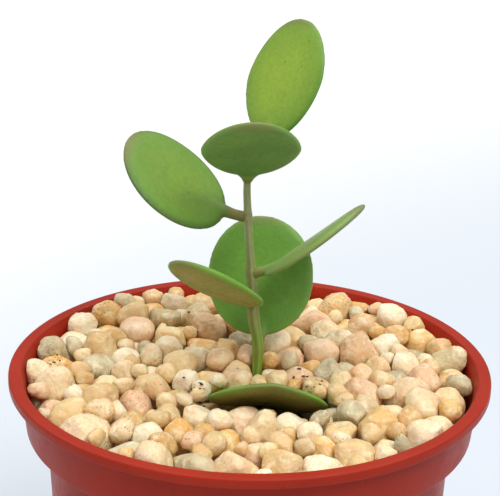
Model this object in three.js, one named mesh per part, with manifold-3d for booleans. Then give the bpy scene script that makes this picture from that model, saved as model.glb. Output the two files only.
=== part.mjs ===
// A young silver dollar vine in a round nursery pot, topped with loose quartz pebbles.
// Millimetres, +Z up. The origin is the middle of the pot's foot, on the ground.
import * as THREE from "three";
import { mergeVertices } from "three/addons/utils/BufferGeometryUtils.js";
import Module from "manifold-3d";

const wasm = await Module();
wasm.setup();

// ---------- Driving dimensions ----------

const clearance = 0.35; // gap that touching pieces keep

// Pot: one moulding in plastic, with a flat lip, a collar under it and a tapered body
const rimDiameter = 100;
const potHeight = 85;
const lipHeight = 2;
const lipOverhang = 2.3; // how far the lip stands out past the collar
const lipWidth = 2.6; // width of the lip's flat top
const collarHeight = 12; // from the lip's top down to the collar's lower edge
const collarTaper = 1.1; // how much the collar narrows on the way down
const bodyStep = 4.1; // how far the body is set in under the collar
const bodyDraft = 2.6; // degrees that the body leans in towards the foot
const wall = 1.2;
const floorThickness = 1.5;
const footHeight = 2; // the floor is raised by this much inside the foot
const footWidth = 4;
const edgeRound = 0.5;
const drainHoleDiameter = 7;
const drainHoleCount = 6;
const drainCircleDiameter = 46;

// Fill, measured down from the rim
const soilDepth = 13;
const pebbleDepth = 5; // middles of the top layer of pebbles

// Pebbles of the top layer
const pebbleSize = 7.4; // distance between neighbouring middles
const loosePebbles = 46; // pebbles with a solid of their own
const pebbleSeed = 11;
const pebbleCrowding = 1.15; // pebbles in the layer, as a share of what would fit at that distance
const pebbleTries = 60; // candidates for each pebble's place
// These are in pebble sizes
const pebbleHalfLength = [0.56, 0.78];
const pebbleHalfWidth = [0.46, 0.62];
const pebbleHalfHeight = [0.42, 0.5];
const heightSpread = 0.2; // of the middles, up and down together
const bedSink = 0.35; // from the middles down to the top of the lower layer
const beddedSink = 0.11; // how much lower the pebbles sit that are part of the lower layer
const plantRoom = 0.27; // from a pebble's middle to the plant
const edgeSoftness = 10; // the higher the power, the sharper the pebbles' edges

// Plant
const stemRadii = [0.9, 0.95, 1.15, 1.0, 0.9, 0.8]; // from the soil up to the tip
const knotSwell = 0.22; // how much the stem thickens where a leaf stalk leaves it
const knotLength = 1.3;
const stalkRadius = 0.85;
const stalkReach = 0.16; // how far the stalk runs on inside the blade, as a share of the blade's length
const leafThickness = 2;

// The stem's middle line as [x, y, height above the rim], from its buried end to its tip
const stemLine = [
  [0.9, 3.9, -32], [1.2, 3.8, -20], [1.35, 3.8, -10], [1.4, 3.8, -4], [1.5, 3.8, 2.9],
  [0.6, 3.8, 8.2], [0.1, 3.8, 14.9], [-0.6, 3.8, 23.8], [-1.1, 3.8, 31.4], [-1.35, 3.85, 38.4],
  [-1.2, 3.95, 40.8],
];

// Each leaf: where its stalk leaves the stem (height above the rim), the stalk's direction and length,
// then the blade's direction, roll about its own length, size, lengthwise bend and crosswise cup.
// Directions are degrees: azimuth from +X towards +Y, and elevation above the ground.
const leaves = [
  { name: "leaf_top", at: 39.6, stalk: [36, 54], stalkLength: 5.2, blade: [57, 61], roll: -23,
    length: 25.6, width: 25, bend: 0.09, cup: 0.07, point: 1.7 },
  { name: "leaf_front", at: 39.0, stalk: [-87, 33], stalkLength: 1.4, blade: [-87, 40], roll: 1,
    length: 25.5, width: 19.6, bend: -0.04, cup: -0.03, point: 1.6 },
  { name: "leaf_left", at: 31.0, stalk: [179, 6], stalkLength: 3.2, blade: [183, 33], roll: -23,
    length: 25.2, width: 23, bend: 0.16, cup: 0, point: 2.1 },
  { name: "leaf_right", at: 18.8, stalk: [-8, 3], stalkLength: 1.6, blade: [-9, 37], roll: -9,
    length: 25.3, width: 22, bend: 0.08, cup: -0.06, point: 2 },
  { name: "leaf_left_low", at: 12.3, stalk: [-92, 8], stalkLength: 1.1, blade: [222, 31], roll: 13,
    length: 23.6, width: 16.6, bend: 0.19, cup: 0.06, point: 2.3 },
  { name: "leaf_back", at: 1.3, stalk: [84, 32], stalkLength: 1.3, blade: [91, 63], roll: -11,
    length: 25.8, width: 23, bend: 0.09, cup: -0.1, point: 2.1 },
  { name: "leaf_basal", at: -8.4, stalk: [-60, -22], stalkLength: 1.5, blade: [-85, 32], roll: -6,
    length: 25.6, width: 24.7, bend: 0.07, cup: -0.26, point: 2 },
];

// Fineness of the meshes
const aroundPot = 48;
const aroundHole = 16;
const aroundStem = 10;
const alongStem = 30;
const aroundLeaf = 20;
const acrossLeaf = 8;
const aroundStalk = 8;
const alongStalk = 4;
const looseFineness = 1;
const beddedFineness = 0;

// ---------- Finishes ----------

const finish = (color, roughness) => new THREE.MeshStandardMaterial({ color, roughness, metalness: 0 });
const potPlastic = finish(0x8f2a1e, 0.4);
const soilFinish = finish(0x2b211b, 1);
const bedFinish = finish(0xc9ab84, 0.7);
const stemFinish = finish(0x7f8f45, 0.6);
const upperLeafFinish = finish(0x8aa640, 0.45);
const shadedLeafFinish = finish(0x5c8a3a, 0.5);
const pebbleColors = [0xe8cfa6, 0xdcb98c, 0xf0e2c8, 0xd99a5b, 0xcfbfa0, 0xe3b29a];
const pebbleFinishes = pebbleColors.map((color) => finish(color, 0.45));

// ---------- Helpers ----------

const rimTop = potHeight;
const rimRadius = rimDiameter / 2;
const rad = THREE.MathUtils.degToRad;
const vec = (x, y, z) => new THREE.Vector3(x, y, z);

/** Unit vector from an azimuth and an elevation in degrees. */
function heading([azimuth, elevation]) {
  const level = Math.cos(rad(elevation));
  return vec(Math.cos(rad(azimuth)) * level, Math.sin(rad(azimuth)) * level, Math.sin(rad(elevation)));
}

/** A closed skin with shared corners: positions only. */
function skin(geometry) {
  const bare = geometry.clone();
  bare.deleteAttribute("normal");
  bare.deleteAttribute("uv");
  return mergeVertices(bare, 1e-4);
}

/** Moves every corner of a skin to the point that place(corner) gives. */
function warp(geometry, place) {
  const shape = skin(geometry);
  const position = shape.attributes.position;
  for (let i = 0; i < position.count; i++) {
    const moved = place(vec(position.getX(i), position.getY(i), position.getZ(i)));
    position.setXYZ(i, moved.x, moved.y, moved.z);
  }
  return shape;
}

function toSolid(geometry) {
  const shape = skin(geometry);
  return new wasm.Manifold(new wasm.Mesh({
    numProp: 3,
    vertProperties: new Float32Array(shape.attributes.position.array),
    triVerts: new Uint32Array(shape.index.array),
  }));
}

function fromSolid(solid) {
  const { vertProperties, triVerts } = solid.getMesh();
  const shape = new THREE.BufferGeometry();
  shape.setAttribute("position", new THREE.BufferAttribute(vertProperties, 3));
  shape.setIndex(new THREE.BufferAttribute(triVerts, 1));
  return shape;
}

/** A turned solid from [radius, height] points, with Z as its axis. */
function turned(points) {
  const profile = points.map(([radius, height]) => new THREE.Vector2(radius, height));
  return skin(new THREE.LatheGeometry(profile, aroundPot).rotateX(Math.PI / 2));
}

/** Seeded random numbers from 0 to 1. */
function randomSource(seed) {
  let state = seed;
  return () => {
    state = (state + 0x6d2b79f5) | 0;
    let t = Math.imul(state ^ (state >>> 15), 1 | state);
    t = (t + Math.imul(t ^ (t >>> 7), 61 | t)) ^ t;
    return ((t ^ (t >>> 14)) >>> 0) / 4294967296;
  };
}

// ---------- Pot ----------

const collarTopRadius = rimRadius - lipOverhang;
const collarBottomRadius = collarTopRadius - collarTaper;
const bodyTopRadius = collarBottomRadius - bodyStep;
const collarBottom = rimTop - collarHeight;
const footRadius = bodyTopRadius - collarBottom * Math.tan(rad(bodyDraft));
const floorTop = footHeight + floorThickness;
const shoulderTop = collarBottom + wall; // the ledge inside, where the body meets the collar

/** Outer radius of the tapered body at a height. */
const bodyRadius = (z) => footRadius + z * Math.tan(rad(bodyDraft));

/** Inner radius of the pot at a height: the collar above the ledge, the body below it. */
function innerRadius(z) {
  if (z < shoulderTop) return bodyRadius(z) - wall;
  const share = (z - collarBottom) / (collarHeight - lipHeight);
  return THREE.MathUtils.lerp(collarBottomRadius, collarTopRadius, Math.min(share, 1)) - wall;
}

/** Half the outline of what fills the pot from one height to another, a clearance off its wall and ledge. */
function fillProfile(bottom, top) {
  const radiusAt = (z) => innerRadius(z - clearance) - clearance;
  const ledge = shoulderTop + clearance;
  const profile = [[0, bottom], [radiusAt(bottom), bottom]];
  if (bottom < ledge && ledge < top) {
    profile.push([radiusAt(bottom), ledge], [radiusAt(ledge), ledge]);
  }
  profile.push([radiusAt(top), top], [0, top]);
  return profile;
}

function makePot() {
  const lipBottom = rimTop - lipHeight;
  const profile = [
    [0, footHeight],
    [footRadius - footWidth, footHeight],
    [footRadius - footWidth, 0],
    [footRadius - edgeRound, 0],
    [bodyRadius(edgeRound), edgeRound],
    [bodyRadius(collarBottom), collarBottom],
    [collarBottomRadius - edgeRound, collarBottom],
    [collarBottomRadius, collarBottom + edgeRound],
    [collarTopRadius, lipBottom],
    [rimRadius - edgeRound, lipBottom],
    [rimRadius, lipBottom + edgeRound],
    [rimRadius, rimTop - edgeRound],
    [rimRadius - edgeRound, rimTop],
    [rimRadius - lipWidth, rimTop],
    [innerRadius(lipBottom), lipBottom],
    [innerRadius(shoulderTop), shoulderTop],
    [bodyRadius(shoulderTop) - wall, shoulderTop],
    [bodyRadius(floorTop) - wall, floorTop],
    [0, floorTop],
  ];
  let pot = toSolid(turned(profile));
  const holeRadius = drainHoleDiameter / 2;
  const hole = new THREE.CylinderGeometry(holeRadius, holeRadius, 4 * floorThickness, aroundHole);
  hole.rotateX(Math.PI / 2).translate(drainCircleDiameter / 2, 0, footHeight + floorThickness / 2);
  for (let i = 0; i < drainHoleCount; i++) {
    pot = pot.subtract(toSolid(hole));
    hole.rotateZ((2 * Math.PI) / drainHoleCount);
  }
  return fromSolid(pot);
}

// ---------- Stem ----------

const stemCurve = new THREE.CatmullRomCurve3(stemLine.map(([x, y, rise]) => vec(x, y, rimTop + rise)));
const stemTop = stemCurve.getPoint(1).z;
const soilTop = rimTop - soilDepth;

/** The point of the stem's middle line at a height, found by halving. */
function stemAt(z) {
  let low = 0;
  let high = 1;
  for (let i = 0; i < 30; i++) {
    const middle = (low + high) / 2;
    if (stemCurve.getPoint(middle).z < z) low = middle;
    else high = middle;
  }
  return stemCurve.getPoint(low);
}

/** Stem radius at a height: an even change between the listed radii, with a knot at each leaf. */
function stemRadius(z) {
  const share = THREE.MathUtils.clamp((z - soilTop) / (stemTop - soilTop), 0, 1) * (stemRadii.length - 1);
  const lower = Math.min(Math.floor(share), stemRadii.length - 2);
  const plain = THREE.MathUtils.lerp(stemRadii[lower], stemRadii[lower + 1], share - lower);
  const knot = (leaf) => knotSwell * Math.exp(-(((z - rimTop - leaf.at) / knotLength) ** 2));
  return plain + leaves.reduce((sum, leaf) => sum + knot(leaf), 0);
}

/** The stem as a tube of changing radius, made thicker all over by `extra`. */
function makeStem(extra = 0) {
  const tube = new THREE.CylinderGeometry(1, 1, 1, aroundStem, alongStem).rotateX(Math.PI / 2);
  return warp(tube, (corner) => {
    const middle = stemCurve.getPoint(corner.z + 0.5);
    const radius = stemRadius(middle.z) + extra;
    const rise = Math.sign(corner.z) * extra;
    return middle.add(vec(corner.x * radius, corner.y * radius, rise));
  });
}

const stemRoom = toSolid(makeStem(clearance)); // what the stem and the clearance around it take up

// ---------- Leaves ----------

/** Where a leaf's blade starts, and the directions along it, across it and out of its upper face. */
function bladeFrame(leaf) {
  const root = stemAt(rimTop + leaf.at);
  const out = heading(leaf.stalk);
  const faceLean = stalkRadius * Math.abs(out.z); // a rising stalk is free of the stem a little farther out
  const free = (stemRadius(root.z) + clearance + faceLean) / Math.hypot(out.x, out.y);
  const base = root.clone().addScaledVector(out, free + leaf.stalkLength);
  const along = heading(leaf.blade);
  const level = vec(-Math.sin(rad(leaf.blade[0])), Math.cos(rad(leaf.blade[0])), 0);
  const across = level.clone().applyAxisAngle(along, rad(leaf.roll));
  const up = along.clone().cross(across);
  return { root, base, along, across, up };
}

/**
 * A point of the blade. `share` runs from 0 at the base to 1 at the tip, `side` is the distance from the
 * midrib as a share of half the width, and `lift` is the height above the middle surface in millimetres.
 * The middle surface bends along the midrib and cups across it, both as parabolas.
 */
function bladePoint(leaf, frame, share, side, lift) {
  const sag = (leaf.bend * leaf.length * share ** 2) / 2 + (leaf.cup * side ** 2 * leaf.width) / 4;
  return frame.base.clone()
    .addScaledVector(frame.along, share * leaf.length)
    .addScaledVector(frame.across, (side * leaf.width) / 2)
    .addScaledVector(frame.up, sag + lift);
}

/** Half the blade's width at a share of its length, as a share of half the full width. */
const bladeOutline = (leaf, share) => Math.sqrt(1 - Math.abs(2 * share - 1) ** leaf.point);

/**
 * The blade as a flattened ball: each ring is the outline shrunk towards the middle of the leaf, and the
 * thickness falls to nothing at the outline along a blunt curve, which leaves a rounded margin.
 */
function makeBlade(leaf, frame, extra = 0) {
  const ball = new THREE.SphereGeometry(1, aroundLeaf, acrossLeaf).rotateX(Math.PI / 2);
  const grow = 1 + (2 * extra) / leaf.width;
  return warp(ball, (corner) => {
    const spread = Math.hypot(corner.x, corner.y);
    const turn = Math.atan2(corner.y, corner.x);
    const ring = Math.sqrt(spread) * grow;
    const edgeShare = 0.5 + 0.5 * Math.cos(turn);
    const share = 0.5 + (edgeShare - 0.5) * ring;
    const side = Math.sign(turn) * bladeOutline(leaf, edgeShare) * ring;
    const lift = Math.sign(corner.z) * (leafThickness / 2 + extra) * Math.sqrt(1 - Math.min(spread, 1) ** 3);
    return bladePoint(leaf, frame, share, side, lift);
  });
}

/** The stalk's middle line: from the stem's middle into the blade, in one bend. */
const stalkPath = (leaf, frame) =>
  new THREE.QuadraticBezierCurve3(frame.root, frame.base, bladePoint(leaf, frame, stalkReach, 0, 0));

/** The stalk as a round tube along its middle line. */
function makeStalk(leaf, frame, extra = 0) {
  const path = stalkPath(leaf, frame);
  const tube = new THREE.CylinderGeometry(1, 1, 1, aroundStalk, alongStalk).rotateX(Math.PI / 2);
  const sideways = frame.across;
  return warp(tube, (corner) => {
    const t = corner.z + 0.5;
    const forward = path.getTangent(t);
    const radius = stalkRadius + extra;
    const upward = forward.clone().cross(sideways).normalize();
    const flat = upward.clone().cross(forward);
    const edge = flat.multiplyScalar(corner.x).addScaledVector(upward, corner.y);
    return path.getPoint(t).addScaledVector(edge, radius);
  });
}

/** A leaf with its stalk running on into the stem, made thicker all over by `extra`. */
function rootedLeaf(leaf, extra = 0) {
  const frame = bladeFrame(leaf);
  return toSolid(makeBlade(leaf, frame, extra)).add(toSolid(makeStalk(leaf, frame, extra)));
}

// ---------- Pebbles ----------

const random = randomSource(pebbleSeed);
const between = (low, high) => low + (high - low) * random();
const pebbleLevel = rimTop - pebbleDepth;
const bedTop = pebbleLevel - bedSink * pebbleSize;
const looseFloor = bedTop + clearance;
const beddedFloor = Math.max(soilTop, shoulderTop) + clearance;
const basal = leaves.find((leaf) => leaf.name === "leaf_basal");

/** Balls along the stem and in the basal leaf, about 1.4 mm apart, which every pebble keeps clear of. */
function plantBalls() {
  const balls = [];
  const step = 1.4;
  for (let z = soilTop; z < rimTop; z += step) {
    balls.push({ middle: stemAt(z), radius: stemRadius(z) + clearance });
  }
  const frame = bladeFrame(basal);
  const stalk = stalkPath(basal, frame);
  for (let t = 0; t <= 1; t += step / stalk.getLength()) {
    balls.push({ middle: stalk.getPoint(t), radius: stalkRadius + clearance });
  }
  for (let share = 0; share <= 1; share += step / basal.length) {
    for (let side = -1; side <= 1; side += (2 * step) / basal.width) {
      if (Math.abs(side) > bladeOutline(basal, share)) continue;
      balls.push({ middle: bladePoint(basal, frame, share, side, 0), radius: leafThickness / 2 + clearance });
    }
  }
  return balls;
}

/**
 * Middles of the top layer's pebbles, spread evenly without rows: each new one is the candidate that is
 * farthest from those already placed.
 */
function pebbleMiddles(balls) {
  const reach = innerRadius(pebbleLevel) - pebbleSize / 2;
  const count = Math.round((reach / pebbleSize) ** 2 * Math.PI * pebbleCrowding);
  const middles = [];
  while (middles.length < count) {
    const sink = middles.length < loosePebbles ? 0 : beddedSink;
    let best = null;
    let bestRoom = -1;
    for (let i = 0; i < pebbleTries; i++) {
      const distance = reach * Math.sqrt(random());
      const turn = between(0, 2 * Math.PI);
      const z = pebbleLevel - (sink + between(-0.5, 0.5) * heightSpread) * pebbleSize;
      const spot = vec(distance * Math.cos(turn), distance * Math.sin(turn), z);
      const toPlant = Math.min(...balls.map((ball) => spot.distanceTo(ball.middle) - ball.radius));
      const room = Math.min(rimDiameter, ...middles.map((other) => spot.distanceTo(other)));
      if (toPlant > pebbleSize * plantRoom && room > bestRoom) [best, bestRoom] = [spot, room];
    }
    middles.push(best);
  }
  return middles;
}

/**
 * One pebble: in every direction its skin lies at the nearest of an egg's surface, the flats halfway to
 * its neighbours, the flats that face the plant, the pot's wall and the floor below. The nearest is taken
 * softly, as a sum of high powers, so all its edges are rounded and it never leaves its own room.
 */
function makePebble(middle, neighbours, balls, floor, fineness) {
  const turn = new THREE.Euler(between(-0.5, 0.5), between(-0.5, 0.5), between(0, Math.PI));
  const unturn = new THREE.Quaternion().setFromEuler(turn).invert();
  const half = vec(between(...pebbleHalfLength), between(...pebbleHalfWidth), between(...pebbleHalfHeight));
  half.multiplyScalar(pebbleSize);
  const flats = [];
  for (const other of neighbours) {
    const away = other.clone().sub(middle);
    const distance = away.length();
    if (distance > 0 && distance < 3 * pebbleSize) {
      flats.push({ facing: away.normalize(), distance: (distance - clearance) / 2 });
    }
  }
  for (const ball of balls) {
    const away = ball.middle.clone().sub(middle);
    const distance = away.length();
    if (distance < 2 * pebbleSize) flats.push({ facing: away.normalize(), distance: distance - ball.radius });
  }
  flats.push({ facing: vec(0, 0, -1), distance: middle.z - floor });
  const wallRadius = innerRadius(bedTop) - clearance;
  return warp(new THREE.IcosahedronGeometry(1, fineness), (corner) => {
    const way = corner.normalize();
    const egg = way.clone().applyQuaternion(unturn).divide(half);
    let sum = egg.length() ** edgeSoftness;
    for (const flat of flats) sum += Math.max(0, way.dot(flat.facing) / flat.distance) ** edgeSoftness;
    const level = way.x ** 2 + way.y ** 2; // 0 straight up or down, where the wall is never met
    const outward = middle.x * way.x + middle.y * way.y;
    const room = wallRadius ** 2 - middle.x ** 2 - middle.y ** 2;
    if (level > 1e-4) sum += (level / (Math.sqrt(outward ** 2 + level * room) - outward)) ** edgeSoftness;
    return middle.clone().addScaledVector(way, sum ** (-1 / edgeSoftness));
  });
}

/** The lower layer: a slab on the soil with the rest of the top pebbles grown onto it. */
function makeBed(middles, allMiddles, balls) {
  let bed = toSolid(turned(fillProfile(soilTop + clearance, bedTop)));
  for (const middle of middles) {
    bed = bed.add(toSolid(makePebble(middle, allMiddles, balls, beddedFloor, beddedFineness)));
  }
  return fromSolid(bed.subtract(stemRoom.add(rootedLeaf(basal, clearance))));
}

// ---------- Soil ----------

/** Potting soil: it fills the pot from the floor up, with a socket where the stem is planted. */
function makeSoil() {
  const body = turned(fillProfile(floorTop + clearance, soilTop));
  return fromSolid(toSolid(body).subtract(stemRoom));
}

// ---------- The whole object ----------

const plant = new THREE.Group();

function add(name, geometry, material) {
  const mesh = new THREE.Mesh(geometry, material);
  mesh.name = name;
  plant.add(mesh);
}

add("pot", makePot(), potPlastic);
add("soil", makeSoil(), soilFinish);
add("stem", makeStem(), stemFinish);
for (const leaf of leaves) {
  const facesLight = ["leaf_top", "leaf_left"].includes(leaf.name);
  const solid = rootedLeaf(leaf).subtract(stemRoom); // the stalk's end follows the stem, a clearance off it
  add(leaf.name, fromSolid(solid), facesLight ? upperLeafFinish : shadedLeafFinish);
}

const keepClear = plantBalls();
const topMiddles = pebbleMiddles(keepClear);
topMiddles.forEach((middle, i) => {
  if (i >= loosePebbles) return;
  const name = `pebble_${String(i + 1).padStart(2, "0")}`;
  const pebble = makePebble(middle, topMiddles, keepClear, looseFloor, looseFineness);
  add(name, pebble, pebbleFinishes[i % pebbleFinishes.length]);
});
add("gravel_bed", makeBed(topMiddles.slice(loosePebbles), topMiddles, keepClear), bedFinish);

export default plant;
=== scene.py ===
# %% [markdown]
# # A young silver dollar vine in a pot
# The real object is a small succulent vine: one upright stem, seven thick coin-shaped leaves, a red
# plastic pot and a top dressing of quartz pebbles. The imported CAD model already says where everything
# is. Here each piece gets its fine shape and its finish, and nothing is moved.

import bpy
import numpy as np
from mathutils import Matrix, Vector


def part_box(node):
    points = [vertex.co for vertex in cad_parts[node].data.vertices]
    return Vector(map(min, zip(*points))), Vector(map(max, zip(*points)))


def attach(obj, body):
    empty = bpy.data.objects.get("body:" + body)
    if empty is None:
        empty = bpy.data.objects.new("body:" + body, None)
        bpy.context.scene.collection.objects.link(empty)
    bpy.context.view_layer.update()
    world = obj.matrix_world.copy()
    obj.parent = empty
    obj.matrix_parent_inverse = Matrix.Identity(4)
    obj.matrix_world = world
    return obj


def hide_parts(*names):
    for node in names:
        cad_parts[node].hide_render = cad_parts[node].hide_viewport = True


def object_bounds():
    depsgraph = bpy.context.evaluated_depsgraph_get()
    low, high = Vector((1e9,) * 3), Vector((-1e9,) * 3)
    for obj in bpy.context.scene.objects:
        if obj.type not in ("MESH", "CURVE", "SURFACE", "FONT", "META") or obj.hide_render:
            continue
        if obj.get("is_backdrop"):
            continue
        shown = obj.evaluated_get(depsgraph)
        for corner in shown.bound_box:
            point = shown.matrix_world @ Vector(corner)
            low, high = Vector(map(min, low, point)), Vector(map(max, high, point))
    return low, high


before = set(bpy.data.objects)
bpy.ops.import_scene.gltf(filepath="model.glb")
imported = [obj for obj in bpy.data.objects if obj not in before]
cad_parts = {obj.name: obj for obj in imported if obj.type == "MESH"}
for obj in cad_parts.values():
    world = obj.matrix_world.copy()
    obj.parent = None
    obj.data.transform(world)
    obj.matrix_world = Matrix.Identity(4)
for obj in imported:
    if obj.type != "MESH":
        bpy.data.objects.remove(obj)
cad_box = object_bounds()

MM = 0.001
pot_low, pot_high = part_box("pot")
rim_top = pot_high.z
rim_radius = (pot_high.x - pot_low.x) / 2
print(f"{len(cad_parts)} nodes, rim at {rim_top / MM:.1f} mm, rim radius {rim_radius / MM:.1f} mm")


# %% Small helpers
def added(name, data):
    """A new object in the scene that shows a mesh, a camera or a lamp."""
    thing = bpy.data.objects.new(name, data)
    bpy.context.scene.collection.objects.link(thing)
    return thing


def full_turn(count):
    """Angles in even steps once round, without the last, which would be the first again."""
    return np.linspace(0, 2 * np.pi, count, endpoint=False)


def unit(vectors):
    """Vectors divided by their lengths."""
    return vectors / np.linalg.norm(vectors, axis=-1, keepdims=True)


print(f"a step of a turn in 192 is {np.degrees(full_turn(192)[1]):.2f} degrees")

# %% [markdown]
# ## Camera
# The camera could be placed by eye, but a fixed distance and three angles say the same in four numbers
# that can be read. It looks down at the pot from a little above the plant, with a long lens, so the
# rim stays a calm ellipse.

# %% Camera
camera_distance = 310 * MM  # from the middle of the rim
camera_elevation = np.radians(24.4)
look_down = np.radians(19.94)
look_left = np.radians(0.1)
camera_roll = np.radians(1.16)
camera_lens = 106.4
nearest_seen = 10 * MM

camera_data = bpy.data.cameras.new("camera")
camera_data.lens = camera_lens
camera_data.clip_start = nearest_seen
camera = added("camera", camera_data)
camera.matrix_world = (
    Matrix.Translation((
        0,
        -camera_distance * np.cos(camera_elevation),
        rim_top + camera_distance * np.sin(camera_elevation),
    ))
    @ Matrix.Rotation(look_left, 4, "Z")
    @ Matrix.Rotation(np.pi / 2 - look_down, 4, "X")
    @ Matrix.Rotation(camera_roll, 4, "Z")
)
bpy.context.scene.camera = camera
print(f"camera: {camera_distance / MM:.0f} mm from the rim's middle, with a {camera_lens:.1f} mm lens")

# %% [markdown]
# ## Closed skins from rings of points
# Every piece of this object is a closed skin around a line: a lathe ring, a stem, a leaf, a pebble.
# One helper can therefore make all of them. It takes rings of points, joins neighbouring rings with
# quads and closes both ends with a fan, so there is never an open edge.

# %% Closed skins
def closed_skins(name, rings):
    """
    One mesh of closed skins. `rings` has the shape (skins, rings, points around, 3), in metres. The
    points of a ring run anticlockwise seen from the last ring. Each end is closed by its ring's mean.
    """
    skins, count, around = rings.shape[:3]
    corners = np.concatenate([rings.reshape(skins, -1, 3), rings[:, :1].mean(2), rings[:, -1:].mean(2)], 1)
    each = count * around + 2
    index = np.arange(count * around).reshape(count, around)
    after = np.roll(index, -1, axis=1)
    quads = np.stack([index[:-1], after[:-1], after[1:], index[1:]], -1).reshape(-1, 4)
    first = np.stack([after[0], index[0], np.full(around, each - 2)], -1)
    last = np.stack([index[-1], after[-1], np.full(around, each - 1)], -1)
    start = (np.arange(skins) * each)[:, None, None]
    faces = (quads + start).reshape(-1, 4).tolist()
    faces += (np.concatenate([first, last]) + start).reshape(-1, 3).tolist()
    mesh = bpy.data.meshes.new(name)
    mesh.from_pydata(corners.reshape(-1, 3), [], faces)
    mesh.shade_smooth()
    return mesh


# %% Placing and measuring
def place(name, mesh, finishes, slot, *nodes):
    """Puts a mesh in the scene as a piece of the object that stands for some CAD nodes."""
    piece = added(name, mesh)
    for finish in finishes:
        mesh.materials.append(finish)
    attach(piece, "root")
    if nodes:
        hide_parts(*nodes)
    return piece


def mark(mesh, name, values):
    """Stores one number for each corner of a mesh, for its finish to read."""
    attribute = mesh.attributes.new(name, "FLOAT", "POINT")
    attribute.data.foreach_set("value", np.asarray(values, np.float32).ravel())


def corners_of(mesh):
    """The corners of a mesh as an array of points."""
    flat = np.empty(len(mesh.vertices) * 3, np.float32)
    mesh.vertices.foreach_get("co", flat)
    return flat.reshape(-1, 3).astype(float)


def box_gap(piece, node):
    """The largest difference between a piece's box and its CAD node's, in millimetres."""
    corners = corners_of(piece.data)
    low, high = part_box(node)
    gaps = np.abs([corners.min(0) - np.array(low), corners.max(0) - np.array(high)])
    return gaps.max() / MM


print(f"the CAD pot has {len(corners_of(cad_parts['pot'].data))} corners")

# %% [markdown]
# ## Shader maths as plain expressions
# A finish is a small graph of nodes. Wiring it link by link is hard to read, so a socket is wrapped in
# a class that understands plus, minus and times. `1 - mask` then adds the Math node by itself, and one
# method adds any other node.

# %% Shader maths
class Value:
    """A number on a surface: a node's output socket, with arithmetic that adds Math nodes."""

    def __init__(self, finish, socket):
        self.finish = finish
        self.socket = socket

    def maths(self, operation, *inputs):
        """The result of one Math node on numbers or other values."""
        return self.finish.node("ShaderNodeMath", {"operation": operation}, inputs)

    def __add__(self, other):
        return self.maths("ADD", self, other)

    def __sub__(self, other):
        return self.maths("SUBTRACT", self, other)

    def __rsub__(self, other):
        return self.maths("SUBTRACT", other, self)

    def __mul__(self, other):
        return self.maths("MULTIPLY", self, other)

    __radd__ = __add__
    __rmul__ = __mul__

    def steps(self, low, high):
        """0 below low, 1 above high, and an even, smooth rise between."""
        settings = {"interpolation_type": "SMOOTHSTEP"}
        inputs = {"Value": self, "From Min": low, "From Max": high}
        return self.finish.node("ShaderNodeMapRange", settings, inputs)


# %% Finishes
class Finish:
    """A material with a Principled shader, built up by expressions."""

    def __init__(self, name, **constants):
        self.material = bpy.data.materials.new(name)
        self.material.use_nodes = True
        self.tree = self.material.node_tree
        self.shader = self.tree.nodes["Principled BSDF"]
        for socket, value in constants.items():
            self.shader.inputs[socket.replace("_", " ")].default_value = value
        self.place = self.node("ShaderNodeTexCoord", output="Object")

    def node(self, kind, settings=None, inputs=(), output=0):
        """Adds a node, sets its settings, then its sockets by name or in order, and wraps an output."""
        node = self.tree.nodes.new(kind)
        for key, value in (settings or {}).items():
            if key == "stops":
                ramp = node.color_ramp.elements
                while len(ramp) < len(value):
                    ramp.new(1)
                for element, (position, color) in zip(ramp, value):
                    element.position = position
                    element.color = color
            else:
                setattr(node, key, value)
        named = inputs.items() if isinstance(inputs, dict) else enumerate(inputs)
        for key, value in named:
            if isinstance(value, Value):
                self.tree.links.new(value.socket, node.inputs[key])
            else:
                node.inputs[key].default_value = value
        return Value(self, node.outputs[output])

    def noise(self, size, detail=3, roughness=0.5, distortion=0.0):
        """Cloudy noise from 0 to 1, with patches of about `size` metres."""
        inputs = {"Vector": self.place, "Scale": 1 / size, "Detail": detail, "Roughness": roughness}
        inputs["Distortion"] = distortion
        return self.node("ShaderNodeTexNoise", None, inputs)

    def specks(self, size, radius):
        """Round specks about `size` metres apart: 1 in the middle of a speck, 0 outside it."""
        inputs = {"Vector": self.place, "Scale": 1 / size}
        distance = self.node("ShaderNodeTexVoronoi", {"feature": "F1"}, inputs, "Distance")
        return 1 - distance.steps(radius * 0.4, radius)

    def attribute(self, name):
        """The number that `mark` stored on the mesh under a name."""
        return self.node("ShaderNodeAttribute", {"attribute_name": name}, output="Fac")

    def mix(self, share, first, second):
        """A colour that runs from the first to the second as share goes from 0 to 1."""
        return self.node("ShaderNodeMix", {"data_type": "RGBA"}, {0: share, 6: first, 7: second}, 2)

    def feed(self, socket, value):
        """Links a value to a socket of the shader."""
        self.tree.links.new(value.socket, self.shader.inputs[socket])

    def bump(self, height, depth, strength=1.0):
        """Feeds a height from 0 to 1 to the normal, as relief of `depth` metres."""
        inputs = {"Height": height, "Distance": depth, "Strength": strength}
        self.feed("Normal", self.node("ShaderNodeBump", None, inputs))


# %% Colours
def srgb(red, green, blue):
    """A colour picked on a screen, 0 to 255, as the linear colour that shaders work with."""
    part = np.array([red, green, blue]) / 255
    linear = np.where(part > 0.04045, ((part + 0.055) / 1.055) ** 2.4, part / 12.92)
    return (*linear.tolist(), 1)


print(f"half way on a screen is {srgb(128, 128, 128)[0]:.2f} of full light")

# %% [markdown]
# ## The pot
# A nursery pot is moulded in one piece, with a flat lip, a collar that takes the grip of a hand, and a
# tapered body that lets pots stack. It could be built from cylinders, but it is a turned shape, so it
# is one profile carried round the axis. Each corner of the profile gets a small round, because sharp
# edges catch no light.

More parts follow.
